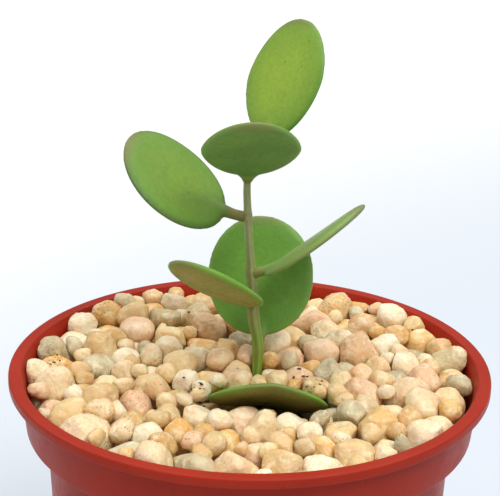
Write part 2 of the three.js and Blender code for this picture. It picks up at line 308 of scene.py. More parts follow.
# %% Sizes of the pot
lip_height = 2 * MM
lip_overhang = 2.3 * MM
lip_width = 2.6 * MM
collar_height = 12 * MM
collar_taper = 1.1 * MM
body_step = 4.1 * MM
body_draft = np.tan(np.radians(2.6))
wall = 1.2 * MM
floor_thickness = 1.5 * MM
foot_height = 2 * MM
foot_width = 4 * MM
axis_gap = 0.1 * MM  # a profile stops just short of the axis, and a fan of faces closes the rest
profile_step = 1.5 * MM
pot_around = 192

collar_top_radius = rim_radius - lip_overhang
collar_bottom_radius = collar_top_radius - collar_taper
collar_bottom = rim_top - collar_height
foot_radius = collar_bottom_radius - body_step - collar_bottom * body_draft
ledge = collar_bottom + wall
lip_bottom = rim_top - lip_height
inner_floor = foot_height + floor_thickness


def inner_radius(height):
    """Inner radius of the pot: the leaning body below the ledge, the leaning collar above it."""
    body = foot_radius + height * body_draft - wall
    share = np.clip((height - collar_bottom) / (collar_height - lip_height), 0, 1)
    collar = collar_bottom_radius + share * collar_taper - wall
    return np.where(height < ledge, body, collar)


print(f"foot radius {foot_radius / MM:.1f} mm, inner radius at the rim {inner_radius(rim_top) / MM:.1f} mm")

# %% Turned shapes
def rounded(points, step):
    """
    A profile with rounded corners. `points` are (radius, height, round). Each corner is cut off at
    its round's length on both sides and bridged by a parabola, then straight runs are filled up with
    points about `step` apart.
    """
    spots = np.array([point[:2] for point in points])
    before = spots[1:-1] - spots[:-2]
    after = spots[2:] - spots[1:-1]
    size = np.array([point[2] for point in points[1:-1]])[:, None]
    start = spots[1:-1] - size * before / np.linalg.norm(before, axis=1, keepdims=True)
    end = spots[1:-1] + size * after / np.linalg.norm(after, axis=1, keepdims=True)
    t = np.linspace(0, 1, 6)[None, :, None]
    corner = spots[1:-1, None]
    arcs = (1 - t) ** 2 * start[:, None] + 2 * t * (1 - t) * corner + t**2 * end[:, None]
    path = np.concatenate([spots[:1], arcs.reshape(-1, 2), spots[-1:]])
    filled = [path[:1]]
    for a, b in zip(path[:-1], path[1:]):
        pieces = max(1, int(np.ceil(np.linalg.norm(b - a) / step)))
        filled.append(a + (b - a) * (np.arange(1, pieces + 1) / pieces)[:, None])
    return np.concatenate(filled)


def turned(name, profile, around):
    """A profile of (radius, height) carried round the Z axis, closed where it starts and ends."""
    turn = full_turn(around)
    radius, height = profile[:, 0, None], profile[:, 1, None]
    rings = np.stack([radius * np.cos(turn), radius * np.sin(turn), height + 0 * turn], -1)
    return closed_skins(name, rings[None])


# %% Profile of the pot
pot_profile = rounded([
    (axis_gap, foot_height, 0),
    (foot_radius - foot_width, foot_height, 0.5 * MM),
    (foot_radius - foot_width + 0.3 * MM, 0, 0.4 * MM),
    (foot_radius, 0, 0.5 * MM),
    (foot_radius + collar_bottom * body_draft, collar_bottom, 0.5 * MM),
    (collar_bottom_radius, collar_bottom, 0.5 * MM),
    (collar_top_radius, lip_bottom, 0.4 * MM),
    (rim_radius, lip_bottom, 0.35 * MM),
    (rim_radius, rim_top, 0.55 * MM),
    (rim_radius - lip_width, rim_top, 0.3 * MM),
    (float(inner_radius(lip_bottom)), lip_bottom, 0.6 * MM),
    (float(inner_radius(ledge)), ledge, 0.6 * MM),
    (foot_radius + ledge * body_draft - wall, ledge, 0.5 * MM),
    (foot_radius + inner_floor * body_draft - wall, inner_floor, 1.2 * MM),
    (axis_gap, inner_floor, 0),
], profile_step)
pot_mesh = turned("pot_body", pot_profile, pot_around)
print(f"pot: {len(pot_profile)} profile points, {len(pot_mesh.polygons)} faces")

# %% [markdown]
# Six round holes let water out through the floor. A hole can't be part of a turned profile, so a
# cutter with six pegs is taken away from the finished pot, once, and then thrown away.

# %% Drain holes
hole_radius = 3.5 * MM
hole_circle = 23 * MM
hole_count = 6
peg_around = 40

hole_turn = np.arange(hole_count) * 2 * np.pi / hole_count
peg_turn = full_turn(peg_around)
peg_heights = foot_height + floor_thickness * np.array([-1.0, 2.0])
peg_circle = np.stack([np.cos(peg_turn), np.sin(peg_turn), 0 * peg_turn], -1) * hole_radius
peg_middles = np.stack([np.cos(hole_turn), np.sin(hole_turn), 0 * hole_turn], -1) * hole_circle
pegs = peg_middles[:, None, None] + peg_circle[None, None] + peg_heights[None, :, None, None] * [0, 0, 1]


def finished(piece):
    """Makes what a piece's modifiers give its real mesh, and takes the modifiers off."""
    graph = bpy.context.evaluated_depsgraph_get()
    mesh = bpy.data.meshes.new_from_object(piece.evaluated_get(graph))
    piece.modifiers.clear()
    piece.data = mesh
    return piece


cutter = added("cutter", closed_skins("cutter", pegs))
pot = place("pot_body", pot_mesh, [], "pot_plastic", "pot")
holes = pot.modifiers.new("holes", "BOOLEAN")
holes.object = cutter
holes.solver = "EXACT"
pot = finished(pot)
bpy.data.objects.remove(cutter)
print(f"pot: box differs by {box_gap(pot, 'pot'):.2f} mm, {len(pot.data.polygons)} faces")

# %% [markdown]
# Pot plastic is dyed through and through, so its colour hardly changes, but it isn't flat either: the
# pigment clouds a little, handling leaves dull patches and fine scratches, and dust settles on the
# lip. Roughness carries most of that, and a faint relief breaks up the reflections.

# %% Finish of the pot
plastic = Finish("pot_plastic", IOR=1.22)
clouds = plastic.noise(14 * MM, 4)
smears = plastic.noise(5 * MM, 5, 0.65, 1.2)
grain = plastic.noise(0.35 * MM, 2)
dust = plastic.specks(2.2 * MM, 0.12) * plastic.noise(9 * MM).steps(0.5, 0.7)
red = plastic.mix(clouds.steps(0.3, 0.7), srgb(153, 39, 20), srgb(160, 43, 24))
plastic.feed("Base Color", plastic.mix(dust * 0.35, red, srgb(190, 130, 105)))
plastic.feed("Roughness", 0.36 + smears.steps(0.35, 0.75) * 0.14 + dust * 0.2)
plastic.bump(grain * 0.5 + smears, 0.03 * MM)
pot.data.materials.append(plastic.material)
print(f"plastic: {len(plastic.tree.nodes)} nodes")

# %% [markdown]
# ## The soil
# Potting mix fills the pot up to the pebbles and shows only as darkness between them and through the
# drain holes. It is turned like the pot, a small gap inside its wall, and its top is roughened by
# waves of many lengths, which look like crumbs.

# %% Soil
soil_low, soil_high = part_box("soil")
soil_top = soil_high.z
soil_gap = 0.35 * MM
soil_waves = np.array([2.5, 1.2, 0.6]) * MM
soil_sinking = 0.8 * MM  # how far the rough top lies below the CAD model's flat one
soil_around = 144
rng = np.random.default_rng(20)


def crumbs(across, upward, sizes, count=16):
    """Sum of waves in random directions: `count` waves for each size, all with the size as height."""
    total = np.zeros_like(across)
    for size in sizes:
        way = rng.uniform(0, 2 * np.pi, count)
        start = rng.uniform(0, 2 * np.pi, count)
        phase = (across[..., None] * np.cos(way) + upward[..., None] * np.sin(way)) / size + start
        total += size * np.sin(phase).mean(-1)
    return total


soil_profile = rounded([
    (axis_gap, soil_low.z, 0),
    (float(inner_radius(soil_low.z)) - soil_gap, soil_low.z, 1.0 * MM),
    (float(inner_radius(soil_top)) - soil_gap, soil_top, 1.0 * MM),
    (axis_gap, soil_top, 0),
], 1.0 * MM)
soil_mesh = turned("potting_soil", soil_profile, soil_around)
soil_points = corners_of(soil_mesh)
on_top = soil_points[:, 2] > soil_top - 0.3 * MM
rough = crumbs(soil_points[:, 0], soil_points[:, 1], soil_waves)
soil_points[:, 2] += np.where(on_top, rough - soil_sinking, 0)
soil_mesh.vertices.foreach_set("co", soil_points.ravel())
soil_mesh.update()

earth = Finish("potting_soil", Roughness=0.95)
lumps = earth.noise(1.6 * MM, 6, 0.7)
earth_color = earth.mix(lumps.steps(0.35, 0.65), srgb(28, 19, 14), srgb(74, 54, 40))
earth.feed("Base Color", earth.mix(earth.specks(3 * MM, 0.18) * 0.6, earth_color, srgb(150, 130, 105)))
earth.bump(lumps, 0.8 * MM)
place("potting_soil", soil_mesh, [earth.material], "potting_soil", "soil")
print(f"soil: top at {soil_top / MM:.1f} mm")

# %% [markdown]
# ## The stem
# The stem climbs nearly straight, with a swollen knot wherever a leaf leaves it. It could be a bevelled
# curve, but a bevel is round everywhere, and this stem is ribbed. So a ring of points is carried up
# its middle line, and the radius depends on both the height and the way round.

# %% Stem line
stem_line = np.array([
    [0.9, 3.9, -32], [1.2, 3.8, -20], [1.35, 3.8, -10], [1.4, 3.8, -4], [1.5, 3.8, 2.9],
    [0.6, 3.8, 8.2], [0.1, 3.8, 14.9], [-0.6, 3.8, 23.8], [-1.1, 3.8, 31.4], [-1.35, 3.85, 38.4],
    [-1.2, 3.95, 40.8],
]) * MM
stem_radii = np.array([0.9, 0.95, 1.15, 1.0, 0.9, 0.8]) * MM  # from the soil up to the tip
stem_girth = np.array([1.05, 1.08, 1.08, 0.98, 0.88, 0.86])  # the same, for the ribbed skin
knot_swell = 0.22 * MM
knot_length = 1.3 * MM
rib_count = 5
rib_height = 0.06


def stem_at(rise):
    """Middle of the stem at heights above the rim: a smooth curve through the points of its line."""
    heights = stem_line[:, 2]
    slope = np.gradient(stem_line[:, :2], heights, axis=0)
    rise = np.atleast_1d(rise)
    left = np.clip(np.searchsorted(heights, rise) - 1, 0, len(heights) - 2)
    run = (heights[left + 1] - heights[left])[:, None]
    t = ((rise - heights[left]) / run[:, 0])[:, None]
    level = (
        (2 * t**3 - 3 * t**2 + 1) * stem_line[left, :2] + (t**3 - 2 * t**2 + t) * run * slope[left]
        + (3 * t**2 - 2 * t**3) * stem_line[left + 1, :2] + (t**3 - t**2) * run * slope[left + 1]
    )
    return np.column_stack([level, rim_top + rise])


print(f"the stem ends {stem_line[-1, 2] / MM:.1f} mm above the rim")

# %% [markdown]
# ## Where the leaves are
# Each leaf is told by a few numbers: where its stalk leaves the stem, which way stalk and blade point,
# how the blade is rolled about its own length, its size, and how much it bends along and across. The
# CAD model was laid out with the same numbers, and the boxes are compared after each leaf is made.
# Two things are finer here: the lowest leaf is folded along its midrib, where the CAD model only cups
# it, and the stalk of the front leaf widens more where it meets the blade.

# %% Leaves as numbers
# name: height above the rim, stalk azimuth and elevation, stalk length, blade azimuth and elevation,
# roll, length, width, bend, cup, pointedness
leaf_facts = {
    "leaf_top": (39.6, 36, 54, 5.2, 57, 61, -23, 25.6, 25.0, 0.09, 0.07, 1.7),
    "leaf_front": (39.0, -87, 33, 1.4, -87, 40, 1, 25.5, 19.6, -0.04, -0.03, 1.6),
    "leaf_left": (31.0, 179, 6, 3.2, 183, 33, -23, 25.2, 23.0, 0.16, 0.0, 2.1),
    "leaf_right": (18.8, -8, 3, 1.6, -9, 37, -9, 25.3, 22.0, 0.08, -0.06, 2.0),
    "leaf_left_low": (12.3, -92, 8, 1.1, 222, 31, 13, 23.6, 16.6, 0.19, 0.06, 2.3),
    "leaf_back": (1.3, 84, 32, 1.3, 91, 63, -11, 25.8, 23.0, 0.09, -0.1, 2.1),
    "leaf_basal": (-8.4, -60, -22, 1.5, -85, 32, -6, 25.6, 24.7, 0.07, -0.26, 2.0),
}
stalk_radius = 0.85 * MM
leaf_thickness = 2 * MM


def heading(azimuth, elevation):
    """Unit vector from an azimuth and an elevation in degrees."""
    a, e = np.radians([azimuth, elevation])
    return np.array([np.cos(a) * np.cos(e), np.sin(a) * np.cos(e), np.sin(e)])


def stem_radius(rise):
    """Radius of the stem: an even change between the listed radii, and a bell at each leaf."""
    soil_rise = soil_top - rim_top
    share = np.clip((rise - soil_rise) / (stem_line[-1, 2] - soil_rise), 0, 1)
    plain = np.interp(share, np.linspace(0, 1, len(stem_radii)), stem_radii)
    knots = [np.exp(-(((rise - facts[0] * MM) / knot_length) ** 2)) for facts in leaf_facts.values()]
    return plain, knot_swell * np.max(knots, 0)


print(f"{len(leaf_facts)} leaves, {leaf_thickness / MM:.0f} mm thick")


# %% Leaf directions
class Leaf:
    """A leaf's own directions: along its midrib, across it, and up out of its face."""

    def __init__(self, name):
        facts = leaf_facts[name]
        rise, stalk_azimuth, stalk_elevation, stalk_length, azimuth, elevation, roll = facts[:7]
        self.length, self.width = facts[7] * MM, facts[8] * MM
        self.bend, self.cup, self.point = facts[9:]
        self.fold, self.fold_power = (0.05, 1.0) if name == "leaf_basal" else (0, 2)
        self.wedge = 7.0 if name == "leaf_front" else 3.2
        self.root = stem_at(rise * MM)[0]
        out = heading(stalk_azimuth, stalk_elevation)
        lean = stalk_radius * abs(out[2])
        free = (float(sum(stem_radius(rise * MM))) + soil_gap + lean) / np.hypot(out[0], out[1])
        self.base = self.root + out * (free + stalk_length * MM)
        self.along = heading(azimuth, elevation)
        level = np.array([-np.sin(np.radians(azimuth)), np.cos(np.radians(azimuth)), 0])
        self.across = np.array(Matrix.Rotation(np.radians(roll), 3, Vector(self.along)) @ Vector(level))
        self.up = np.cross(self.along, self.across)

    def outline(self, share):
        """Half the width at a share of the length, as a share of the half width."""
        return np.sqrt(np.clip(1 - np.abs(2 * share - 1) ** self.point, 0, None))

    def sag(self, share, side):
        """Height of the middle surface: an even bend along, and a cup or a fold across."""
        across = (side**2 + self.fold**2) ** (self.fold_power / 2)
        return self.bend * self.length * share**2 / 2 + self.cup * across * self.width / 4

    def spot(self, share, side, lift):
        """A point of the blade: along and across in shares, lifted off its bent middle surface."""
        sag = self.sag(share, side)
        return (
            self.base + share[..., None] * self.length * self.along
            + side[..., None] * self.width / 2 * self.across + (sag + lift)[..., None] * self.up
        )

    def local(self, points):
        """The share of the length and of the half width at points near the blade, and the lift."""
        from_base = points - self.base
        share = from_base @ self.along / self.length
        side = from_base @ self.across / (self.width / 2)
        return share, side, from_base @ self.up - self.sag(share, side)


leaves = {name: Leaf(name) for name in leaf_facts}
print(f"the top leaf starts {(leaves['leaf_top'].base[2] - rim_top) / MM:.1f} mm above the rim")

# %% [markdown]
# ### Stem mesh
# The ribs are a wave round the stem that twists slowly on its way up. The same wave is stored on the
# mesh, so that the finish can make the grooves brown and the ribs green.

# %% Stem mesh
rib_twist = 18  # radians on each metre of height
oval_twist = 25
oval_share = 0.4
tip_length = 0.8 * MM

stem_top = stem_line[-1, 2]
stem_foot = soil_top - rim_top
stem_rise = np.concatenate([
    np.linspace(stem_line[0, 2], stem_foot, 12),
    np.linspace(stem_foot, stem_top, 300)[1:],
])
stem_turn = full_turn(64)
ribs = np.cos(rib_count * stem_turn + rib_twist * stem_rise[:, None])
wave = ribs + oval_share * np.cos(2 * stem_turn - oval_twist * stem_rise[:, None] + 1)
tip_round = np.sqrt(np.clip((stem_top - stem_rise) / tip_length, 0.02, 1))[:, None]
plain_radius, knot_size = stem_radius(stem_rise)
girth = np.interp(stem_rise, np.linspace(stem_foot, stem_top, len(stem_girth)), stem_girth)
knot_share = np.interp(stem_rise, [33 * MM, 37 * MM], [0.7, 0])
stem_size = (plain_radius * girth + knot_size * knot_share)[:, None] * (1 + rib_height * wave) * tip_round
stem_rings = stem_at(stem_rise)[:, None] + np.stack(
    [stem_size * np.cos(stem_turn), stem_size * np.sin(stem_turn), 0 * stem_size], -1)
stem_mesh = closed_skins("stem", stem_rings[None])
stem_marks = {"rib": wave, "knot": knot_size[:, None] / knot_swell, "rise": stem_rise[:, None] / MM}
for name, values in stem_marks.items():
    mark(stem_mesh, name, np.concatenate([(values + 0 * wave).ravel(), [0, 0]]))
print(f"stem: {len(stem_mesh.polygons)} faces")

# %% Finish of the stem
bark = Finish("stem", Roughness=0.55, Subsurface_Weight=0.08, Subsurface_Scale=0.6 * MM)
rib = bark.attribute("rib").steps(-1.1, 0.6)
knot = bark.attribute("knot").steps(0.2, 0.9)
young = 1 - bark.attribute("rise").steps(0, 14)
streaks = bark.noise(1.3 * MM, 4).steps(0.3, 0.7)
khaki = bark.mix(streaks, srgb(158, 168, 112), srgb(138, 148, 84))
ribbed = bark.mix(rib, srgb(144, 130, 88), khaki)
ribbed = bark.mix(bark.attribute("rise").steps(15, 35) * 0.5, ribbed, srgb(172, 180, 132))
ribbed = bark.mix(young * 0.9, ribbed, bark.mix(rib, srgb(114, 144, 46), srgb(134, 174, 52)))
bark.feed("Base Color", bark.mix(knot * streaks * 0.6, ribbed, srgb(152, 126, 88)))
bark.bump(streaks + bark.noise(0.3 * MM, 2) * 0.4, 0.06 * MM)
stem_body = place("stem_body", stem_mesh, [bark.material], "stem", "stem")
print(f"stem: box differs by {box_gap(stem_body, 'stem'):.2f} mm")

# %% [markdown]
# ## The leaves
# A silver dollar leaf is a thick coin on a short stalk. A thickened plane would give it a square edge,
# so the blade is a flattened ball: rings of the leaf's outline shrink towards the middle, and the
# thickness falls along a blunt curve, which leaves the soft, rolled margin of the real leaf. The stalk
# is a tube that flares at both ends. Blade and stalk are then wrapped in one skin and smoothed, so the
# stalk grows out of the blade without a crease.

# %% Leaf shapes
ring_turn = full_turn(120)
ring_tilt = np.linspace(0, np.pi, 46)[1:-1]
skin_fineness = 0.3 * MM
stalk_fullness = 1.15  # smoothing thins a stalk, so it starts a little thicker
stalk_flare = 0.25
flare_length = 0.2
stalk_start = 0.12  # shares of the way from the stem's middle to the blade, and along the blade
stalk_end = 0.3


def blade_rings(leaf):
    """Flattened ball: spread is the sine of the tilt, the ring its root, the lift a blunt curve."""
    tilt, turn = np.meshgrid(ring_tilt, ring_turn, indexing="ij")
    spread = np.sin(tilt)
    ring = np.sqrt(spread)
    edge = 0.5 + 0.5 * np.cos(turn)
    share = 0.5 + (edge - 0.5) * ring
    side = np.sign(np.sin(turn)) * leaf.outline(edge) * ring
    lift = -np.sign(np.cos(tilt)) * leaf_thickness / 2 * np.sqrt(np.clip(1 - spread**3, 0, None))
    return leaf.spot(share, side, lift)


def stalk_rings(leaf, start, reach):
    """A tube along a parabola from near the stem's middle to inside the blade, wider at both ends."""
    t = np.linspace(0, 1, 40)[:, None]
    inside = leaf.spot(np.array(reach), np.array(0.0), np.array(0.0))
    first = leaf.root + (leaf.base - leaf.root) * start
    path = (1 - t) ** 2 * first + 2 * t * (1 - t) * leaf.base + t**2 * inside
    forward = unit(np.gradient(path, axis=0))
    upward = unit(np.cross(forward, leaf.across))
    sideways = np.cross(upward, forward)
    ends = stalk_flare * np.exp(-(t / flare_length) ** 2)
    wide = stalk_radius * (stalk_fullness + ends + leaf.wedge * t**1.7)
    high = stalk_radius * (stalk_fullness + ends - 0.3 * t**3)
    turn = ring_turn[::5]
    return (
        path[:, None] + (wide * np.cos(turn))[..., None] * sideways[:, None]
        + (high * np.sin(turn))[..., None] * upward[:, None]
    )


print(f"a blade starts as {len(ring_tilt)} rings of {len(ring_turn)} points")


# %% Leaf meshes
def leaf_mesh(name):
    """Blade and stalk wrapped in one skin, with its place on the blade marked on every corner."""
    leaf = leaves[name]
    shapes = (blade_rings(leaf), stalk_rings(leaf, stalk_start, stalk_end))
    parts = [closed_skins("part", rings[None]) for rings in shapes]
    sizes = [len(part.vertices) for part in parts]
    corners = np.concatenate([corners_of(part) for part in parts])
    faces = [list(face.vertices) for face in parts[0].polygons]
    faces += [[corner + sizes[0] for corner in face.vertices] for face in parts[1].polygons]
    mesh = bpy.data.meshes.new(name + "_blade")
    mesh.from_pydata(corners, [], faces)
    for part in parts:
        bpy.data.meshes.remove(part)
    piece = added("wrap", mesh)
    wrap = piece.modifiers.new("wrap", "REMESH")
    wrap.mode = "VOXEL"
    wrap.voxel_size = skin_fineness
    soften = piece.modifiers.new("soften", "SMOOTH")
    soften.factor = 0.6
    soften.iterations = 6
    mesh = finished(piece).data
    bpy.data.objects.remove(piece)
    mesh.shade_smooth()
    share, side, lift = leaf.local(corners_of(mesh))
    margin = np.sqrt((2 * share - 1) ** 2 + side**2)
    mark(mesh, "share", share)
    mark(mesh, "margin", margin)
    mark(mesh, "face", lift / leaf_thickness + 0.5)
    return mesh


print(f"leaf skins are wrapped at {skin_fineness / MM:.1f} mm")

# %% [markdown]
# ### Leaf finishes
# The leaves share one recipe, and their colours carry painted light and shade: those that face the light
# are painted a lighter yellow green, the shaded ones a deeper green, and the back leaf a bright green as
# if the light shone through it. The undersides of the lowest are flushed brown, painted lighter where
# they lie in shade. The waxy skin is satin, the margin band is painted lighter where it catches the
# light on some leaves and darker where it is in shade on others, and both ends of a blade are a little
# browner. Small dark specks and cloudy patches keep the green alive.

# %% Leaf finishes
def leaf_finish(name, upper, upper_deep, lower, lower_deep, edge, rim):
    """Satin leaf skin: cloudy green above, greener to the edge, another pair below, a margin band that
    carries painted light and shade, specks.
    """
    skin = Finish(name, Subsurface_Weight=0.12, Subsurface_Scale=1.2 * MM, IOR=1.42)
    above = skin.attribute("face").steps(0.3, 0.7)
    margin = skin.attribute("margin")
    share = skin.attribute("share")
    patches = skin.noise(7 * MM, 4, 0.55).steps(0.3, 0.7)
    pores = skin.noise(0.9 * MM, 3).steps(0.35, 0.7)
    specks = skin.specks(2.6 * MM, 0.16) * skin.noise(6 * MM).steps(0.5, 0.62)
    top_side = skin.mix(patches, upper, upper_deep)
    under_side = skin.mix(patches, lower, lower_deep)
    green = skin.mix(above, under_side, top_side)
    green = skin.mix(pores * 0.16, green, srgb(70, 100, 40))
    green = skin.mix(margin.steps(0.35, 1.0) * above * 0.45, green, edge)
    # The rim band carries painted light: the margin colour passed in is a painted highlight on some leaves
    # and painted shade on others.
    green = skin.mix(margin.steps(0.86, 1.0) * 0.8, green, rim)
    green = skin.mix((1 - share.steps(-0.06, 0.07)) * 0.75, green, srgb(132, 116, 66))
    green = skin.mix(share.steps(0.86, 1.0) * 0.65, green, srgb(122, 116, 70))
    skin.feed("Base Color", skin.mix(specks * 0.5, green, srgb(62, 74, 34)))
    skin.feed("Roughness", 0.42 + pores * 0.12 + patches * 0.06)
    skin.bump(pores * 0.5 + patches, 0.05 * MM)
    return skin.material


# %% Leaf colours
# Two colours to a name, light and deep. A leaf has a pair above, a pair below, an edge and a rim.
# The pairs are painted light and shade, set by how much light each leaf gets: sunny for the leaf that
# faces the light, shaded and dusky for faces in shade, mossy painted bright for the back leaf as if
# the light shone through it, pale for the sheen of the sky on the edge-on right leaf, and brown
# lightened where the undersides of the lowest leaves lie in shade.
sunny = (srgb(154, 186, 60), srgb(146, 178, 62))
fresh = (srgb(114, 145, 50), srgb(106, 138, 50))
shaded = (srgb(106, 142, 66), srgb(92, 126, 58))
mossy = (srgb(116, 168, 62), srgb(106, 154, 56))
brown = (srgb(150, 144, 72), srgb(130, 138, 60))
# The next two are rim colours: the first a painted highlight on a margin that catches the light, the second
# painted shade on a margin that lies in shade.
lit_rim = srgb(118, 160, 70)
shaded_rim = srgb(78, 108, 44)
dusky = (srgb(76, 114, 62), srgb(68, 104, 56))
pale = (srgb(150, 176, 96), srgb(138, 164, 88))
edge_green = srgb(92, 140, 52)
leaf_colors = {
    "leaf_top": (*sunny, *dusky, edge_green, edge_green),
    "leaf_front": (*fresh, *shaded, edge_green, lit_rim),
    "leaf_left": (*fresh, *dusky, edge_green, shaded_rim),
    "leaf_right": (*pale, *dusky, edge_green, pale[1]),
    "leaf_left_low": (*mossy, *brown, edge_green, mossy[0]),
    "leaf_back": (*mossy, *shaded, edge_green, lit_rim),
    "leaf_basal": (*mossy, *brown, edge_green, mossy[0]),
}
print(f"{len(leaf_colors)} leaves have their colours")

# %% Leaves in place
for name, colors in leaf_colors.items():
    piece = place(name + "_blade", leaf_mesh(name), [leaf_finish(name, *colors)], "leaf", name)
    print(f"{name}: box differs by {box_gap(piece, name):.2f} mm, {len(piece.data.polygons)} faces")

# %% [markdown]
# ## The pebbles
# Quartz gravel is tumbled but still a little angular. A squashed ball looks like a sweet, so a pebble
# is worked out in every direction from its middle: its skin lies at the nearest of an egg's surface, a
# few random chip planes and the planes where it meets its neighbours. The nearest is taken softly, as
# a sum of high powers, so edges are rounded and no pebble runs into another.

# %% Pebble skins
edge_softness = 24
egg_excess = 1.12  # an egg starts larger, because knobs and chips take some of it away
chip_count = 14
loose_grid = (26, 40)  # rings and points around; the stones that are seen best have the most
large_grid = (16, 24)
small_grid = (7, 10)
hidden_grid = (6, 10)
knob_waves = ((1.6, 0.5, 3), (3.4, 0.5, 3))  # how fast each set of waves turns, its share, its count


def ball_grid(rings, around):
    """Directions over a ball, as rings along the X axis."""
    tilt = np.linspace(0, np.pi, rings + 2)[1:-1, None]
    turn = full_turn(around)
    return np.stack([-np.cos(tilt) + 0 * turn, np.sin(tilt) * np.cos(turn), np.sin(tilt) * np.sin(turn)], -1)


def random_turns(count, tilt):
    """Own axes of pebbles, as rows: any way round, and tipped by up to `tilt` radians."""
    z_turn = rng.uniform(0, 2 * np.pi, count)
    tips = rng.uniform(-tilt, tilt, (count, 2))
    turns = [
        Matrix.Rotation(z, 3, "Z") @ Matrix.Rotation(a, 3, "X") @ Matrix.Rotation(b, 3, "Y")
        for z, (a, b) in zip(z_turn, tips)
    ]
    return np.array([np.array(turn).T for turn in turns])


def chip_planes(support, turns, count, low, high):
    """Random planes that cut a pebble at a share, from low to high, of how far it reaches."""
    facing = unit(rng.normal(size=(len(turns), count, 3)))
    return facing, support(facing) * rng.uniform(low, high, facing.shape[:2])


def pebble_rings(middles, ways, reach, facing, distance):
    """
    Skins of pebbles, shape (pebbles, rings, around, 3). 1 / reach is the root of the summed powers of
    1 / (the base shape's reach) and of cosine / distance for every plane that faces the same way.
    """
    cosine = np.einsum("krad,kfd->kraf", ways, facing)
    inverse = reach**-edge_softness
    powers = (np.clip(cosine, 0, None) / distance[:, None, None]) ** edge_softness
    inverse += powers @ np.ones(facing.shape[1])
    return middles[:, None, None] + ways * (inverse ** (-1 / edge_softness))[..., None]


def lumpy(ways, strength):
    """A factor below 1 with knobs on each pebble: folded waves, rounded on top and creased between."""
    total = 0
    for size, share, count in knob_waves:
        wave = rng.normal(scale=size, size=(count, len(ways), 3))
        start = rng.uniform(0, 2 * np.pi, (count, len(ways)))
        phase = np.einsum("krad,wkd->wkra", ways, wave) + start[:, :, None, None]
        total = total + share * np.abs(np.sin(phase)).mean(0)
    return 1 - strength * (1 - total)


print(f"a large stone is worked out in {large_grid[0] * large_grid[1]} directions")

# %% [markdown]
# ### The pebbles that have a solid of their own
# Each of these keeps the shape that the CAD model gave it. Its corners, seen from its middle, are
# directions with a reach. A fine pebble takes, in every direction, the average reach of the corners
# around that direction, and is then chipped a little.

# %% Loose pebbles
pebble_names = sorted(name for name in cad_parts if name.startswith("pebble_"))
stone_tones = ["cream", "beige", "white", "amber", "grey", "pink"]
blend_sharpness = 16
loose_tip = 0.6  # radians
loose_knobs = 0.24


def cad_corners(node):
    """The shared corners of a CAD node."""
    return np.unique(np.round(corners_of(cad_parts[node].data) / MM, 3), axis=0) * MM


loose_corners = np.array([cad_corners(name) for name in pebble_names])
loose_middles = loose_corners.mean(1)
loose_spokes = loose_corners - loose_middles[:, None]
spoke_reach = np.linalg.norm(loose_spokes, axis=-1)
spoke_ways = loose_spokes / spoke_reach[..., None]
loose_turns = random_turns(len(pebble_names), loose_tip)
loose_ways = np.einsum("rac,kcd->krad", ball_grid(*loose_grid), loose_turns)
nearness = np.exp(blend_sharpness * (np.einsum("krad,ksd->kras", loose_ways, spoke_ways) - 1))
loose_reach = np.einsum("kras,ks->kra", nearness, spoke_reach) / nearness.sum(-1)


def loose_support(facing):
    """How far each loose pebble reaches in given directions."""
    return np.einsum("kfd,ksd->kfs", facing, loose_spokes).max(-1)


loose_facing, loose_distance = chip_planes(loose_support, loose_turns, chip_count, 0.8, 1.02)
loose_eggs = egg_excess * loose_reach * lumpy(loose_ways, loose_knobs)
loose_rings = pebble_rings(loose_middles, loose_ways, loose_eggs, loose_facing, loose_distance)
print(f"{len(pebble_names)} loose pebbles, about {2 * spoke_reach.mean() / MM:.1f} mm across")

# %% [markdown]
# ### The pebbles between and below
# The rest of the gravel is one solid in the CAD model. Here it is poured again, stone by stone: many
# random spots are tried, each knows how much room it has to the nearest obstacle, and stones are set
# from the largest size down wherever one fits. Small stones end up in the gaps, as they do in a pot.

# %% Spots to try
stone_gap = 0.12 * MM
spots_tried = 40000
least_room = 1.2 * MM

spots = rng.uniform(-1, 1, (spots_tried, 3)) * [1, 1, 0.5]
spots[:, :2] *= float(inner_radius(rim_top))
spots = spots[np.hypot(spots[:, 0], spots[:, 1]) < inner_radius(rim_top) - least_room]
heap_low = soil_top + 1.0 * MM
heap_high = rim_top - least_room
spots[:, 2] = heap_low + (spots[:, 2] + 0.5) * (heap_high - heap_low)

print(f"{len(spots)} spots lie inside the pot")

# %% [markdown]
# The stem, the lowest leaf and its stalk are rows of balls that stones keep clear of. A few more balls
# keep the hollow under that leaf open, the ground in front of the stem low, and a dip at the left.

# %% Obstacles
hollow_start = 0.35  # share of the leaf's length
hollow_drop = 2.4 * MM
hollow_radius = 2.2 * MM
stalk_room = 1.3 * MM
clearing_radius = 2.5 * MM
clearing_offsets = np.array([[-2, -2.5, 2], [0, -4, 2], [2, -2.5, 2]]) * MM
dip_ball = np.array([[-42.5, 3, rim_top / MM - 3, 2.8]]) * MM  # middle and radius


def balls(middles, radius):
    """Balls of one radius, as rows of a middle and the radius."""
    return np.column_stack([middles, np.full(len(middles), radius)])


